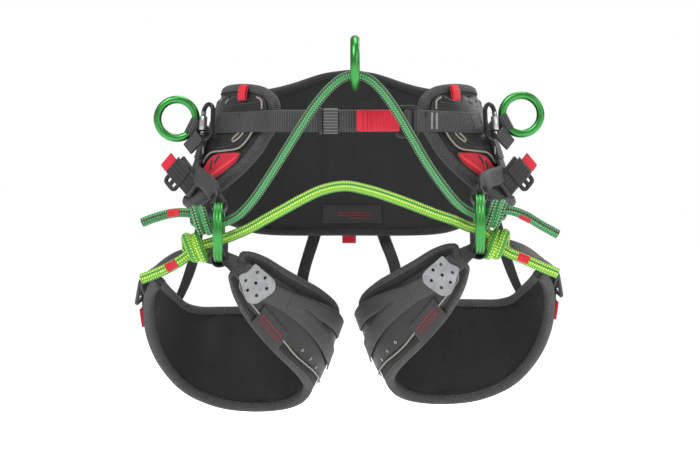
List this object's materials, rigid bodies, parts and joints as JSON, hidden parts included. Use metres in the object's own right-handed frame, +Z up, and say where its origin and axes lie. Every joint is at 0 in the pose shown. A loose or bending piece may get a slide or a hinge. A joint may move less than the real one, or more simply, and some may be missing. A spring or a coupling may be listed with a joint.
{
  "type": "tree climbing saddle",
  "caption": "Padded tree climbing harness: waist belt, leg loops, anodised rings, rope bridges with stopper knots, buckles and pull tabs.",
  "frame": {"origin": "middle of the wearer's waist, at the height of the front strap", "axes": "+X to the wearer's left, -Y the way the wearer faces, +Z up"},
  "size_m": [0.51, 0.3545, 0.4332],
  "materials": {
    "pad_lining": "charcoal knitted lining over foam",
    "laminate": "black coated laminate with a faint sheen",
    "dark_webbing": "dark grey ribbed polyester webbing",
    "elastic": "black woven elastic",
    "red_webbing": "bright red woven webbing",
    "red_patch": null,
    "green_anodised": "satin green anodised",
    "black_plastic": "black moulded",
    "black_steel": "black coated steel",
    "bare_steel": "plain steel",
    "grey_plate": "grey plate with a soft metallic sheen",
    "dark_rope": "dark green braid with light flecks",
    "light_rope": "light green braid with yellow and dark flecks"
  },
  "bodies": {
    "waist": {"back_pad": "pad_lining", "right_wing_pad": "pad_lining", "left_wing_pad": "pad_lining", "back_shell": "laminate", "right_wing_shell": "laminate", "left_wing_shell": "laminate", "back_webbing": "dark_webbing", "front_strap_right": "dark_webbing", "front_strap_left": "dark_webbing", "right_side_ring_loop": "dark_webbing", "right_hip_strap": "dark_webbing", "right_hip_adjuster_webbing": "dark_webbing", "left_side_ring_loop": "dark_webbing", "left_hip_strap": "dark_webbing", "left_hip_adjuster_webbing": "dark_webbing", "right_outer_riser": "elastic", "right_inner_riser": "elastic", "left_outer_riser": "elastic", "left_inner_riser": "elastic", "tail_loop": "red_webbing", "right_tool_loop": "red_webbing", "left_tool_loop": "red_webbing", "right_wing_patch": "red_patch", "left_wing_patch": "red_patch", "strap_keeper": "black_plastic", "right_quick_link": "black_steel", "left_quick_link": "black_steel"},
    "right_side_ring": {"right_side_ring": "green_anodised"},
    "right_link_sleeve": {"right_link_sleeve": "bare_steel"},
    "right_front_ring": {"right_front_ring": "green_anodised"},
    "right_hip_buckle": {"right_hip_buckle": "black_plastic"},
    "right_hip_pull_tab": {"right_hip_pull_tab": "red_webbing"},
    "right_leg": {"right_leg_pad": "pad_lining", "right_leg_shell": "laminate", "right_leg_strap": "dark_webbing", "right_leg_plate": "grey_plate", "right_leg_outer_strap": "dark_webbing"},
    "right_leg_buckle": {"right_leg_buckle": "black_plastic"},
    "right_leg_pull_tab": {"right_leg_pull_tab": "red_webbing"},
    "left_side_ring": {"left_side_ring": "green_anodised"},
    "left_link_sleeve": {"left_link_sleeve": "bare_steel"},
    "left_front_ring": {"left_front_ring": "green_anodised"},
    "left_hip_buckle": {"left_hip_buckle": "black_plastic"},
    "left_hip_pull_tab": {"left_hip_pull_tab": "red_webbing"},
    "left_leg": {"left_leg_pad": "pad_lining", "left_leg_shell": "laminate", "left_leg_strap": "dark_webbing", "left_leg_plate": "grey_plate", "left_leg_outer_strap": "dark_webbing"},
    "left_leg_buckle": {"left_leg_buckle": "black_plastic"},
    "left_leg_pull_tab": {"left_leg_pull_tab": "red_webbing"},
    "upper_bridge": {"upper_bridge": "dark_rope", "upper_right_knot": "dark_rope", "upper_left_knot": "dark_rope"},
    "lower_bridge": {"lower_bridge": "light_rope", "lower_right_knot": "light_rope", "lower_left_knot": "light_rope"},
    "bridge_ring": {"bridge_ring": "green_anodised"},
    "front_buckle": {"front_buckle": "black_plastic"},
    "front_pull_tab": {"front_pull_tab": "red_webbing"}
  },
  "joints": [
    {"name": "right_side_ring_swing", "type": "hinge", "parent": "waist", "child": "right_side_ring", "pos_m": [-0.17922, -0.047, -0.00708], "axis": [0.454, 0, 0.891], "range_deg": [-50, 50]},
    {"name": "right_link_sleeve_slide", "type": "slide", "parent": "waist", "child": "right_link_sleeve", "axis": [0.0431, 0.1081, 0.9932], "range_m": [0, 0.003]},
    {"name": "right_front_ring_turn", "type": "hinge", "parent": "waist", "child": "right_front_ring", "pos_m": [-0.147, -0.112, -0.127], "axis": [1, 0, 0], "continuous": true},
    {"name": "right_hip_buckle_tilt", "type": "hinge", "parent": "waist", "child": "right_hip_buckle", "pos_m": [-0.20486, -0.03718, -0.05495], "axis": [-0.623, 0.3155, -0.7158], "range_deg": [0, 35]},
    {"name": "right_hip_pull_tab_slide", "type": "slide", "parent": "waist", "child": "right_hip_pull_tab", "axis": [-0.5768, 0.4329, 0.6928], "range_m": [0, 0.012]},
    {"name": "right_leg_swing", "type": "hinge", "parent": "waist", "child": "right_leg", "pos_m": [-0.147, -0.112, -0.127], "axis": [1, 0, 0], "range_deg": [-25, 10], "stiffness_Nm_per_rad": 6, "springref_deg": 1.91, "deforming": ["right_outer_riser", "right_inner_riser"]},
    {"name": "right_leg_buckle_tilt", "type": "hinge", "parent": "right_leg", "child": "right_leg_buckle", "pos_m": [-0.23731, 0.00525, -0.177], "axis": [0.5513, 0.6674, 0.5006], "range_deg": [0, 35]},
    {"name": "right_leg_pull_tab_slide", "type": "slide", "parent": "right_leg", "child": "right_leg_pull_tab", "axis": [0.0715, 0.5631, -0.8233], "range_m": [0, 0.012]},
    {"name": "left_side_ring_swing", "type": "hinge", "parent": "waist", "child": "left_side_ring", "pos_m": [0.17922, -0.047, -0.00208], "axis": [-0.454, 0, 0.891], "range_deg": [-50, 50]},
    {"name": "left_link_sleeve_slide", "type": "slide", "parent": "waist", "child": "left_link_sleeve", "axis": [-0.0431, 0.1081, 0.9932], "range_m": [0, 0.003]},
    {"name": "left_front_ring_turn", "type": "hinge", "parent": "waist", "child": "left_front_ring", "pos_m": [0.147, -0.112, -0.118], "axis": [1, 0, 0], "continuous": true},
    {"name": "left_hip_buckle_tilt", "type": "hinge", "parent": "waist", "child": "left_hip_buckle", "pos_m": [0.20486, -0.03718, -0.05495], "axis": [-0.623, -0.3155, 0.7158], "range_deg": [0, 35]},
    {"name": "left_hip_pull_tab_slide", "type": "slide", "parent": "waist", "child": "left_hip_pull_tab", "axis": [0.5768, 0.4329, 0.6928], "range_m": [0, 0.012]},
    {"name": "left_leg_swing", "type": "hinge", "parent": "waist", "child": "left_leg", "pos_m": [0.147, -0.112, -0.118], "axis": [1, 0, 0], "range_deg": [-25, 10], "stiffness_Nm_per_rad": 6, "springref_deg": 1.91, "deforming": ["left_outer_riser", "left_inner_riser"]},
    {"name": "left_leg_buckle_tilt", "type": "hinge", "parent": "left_leg", "child": "left_leg_buckle", "pos_m": [0.23731, 0.00525, -0.168], "axis": [0.5513, -0.6674, -0.5006], "range_deg": [0, 35]},
    {"name": "left_leg_pull_tab_slide", "type": "slide", "parent": "left_leg", "child": "left_leg_pull_tab", "axis": [-0.0715, 0.5631, -0.8233], "range_m": [0, 0.012]},
    {"name": "upper_bridge_swing", "type": "hinge", "parent": "waist", "child": "upper_bridge", "pos_m": [-0.147, -0.112, -0.1175], "axis": [0.9994, 0, 0.0338], "range_deg": [0, 40]},
    {"name": "lower_bridge_swing", "type": "hinge", "parent": "waist", "child": "lower_bridge", "pos_m": [-0.1496, -0.102, -0.138], "axis": [0.999, 0, 0.0456], "range_deg": [0, 40]},
    {"name": "bridge_ring_swing", "type": "hinge", "parent": "upper_bridge", "child": "bridge_ring", "pos_m": [0.0066, -0.171, 0.046], "axis": [1, 0, 0], "range_deg": [-120, 120]},
    {"name": "front_buckle_tilt", "type": "hinge", "parent": "waist", "child": "front_buckle", "pos_m": [0.052, -0.144, -0.0045], "axis": [0, 0, -1], "range_deg": [0, 16]},
    {"name": "front_pull_tab_slide", "type": "slide", "parent": "waist", "child": "front_pull_tab", "axis": [-1, 0, 0], "range_m": [0, 0.03]}
  ]
}
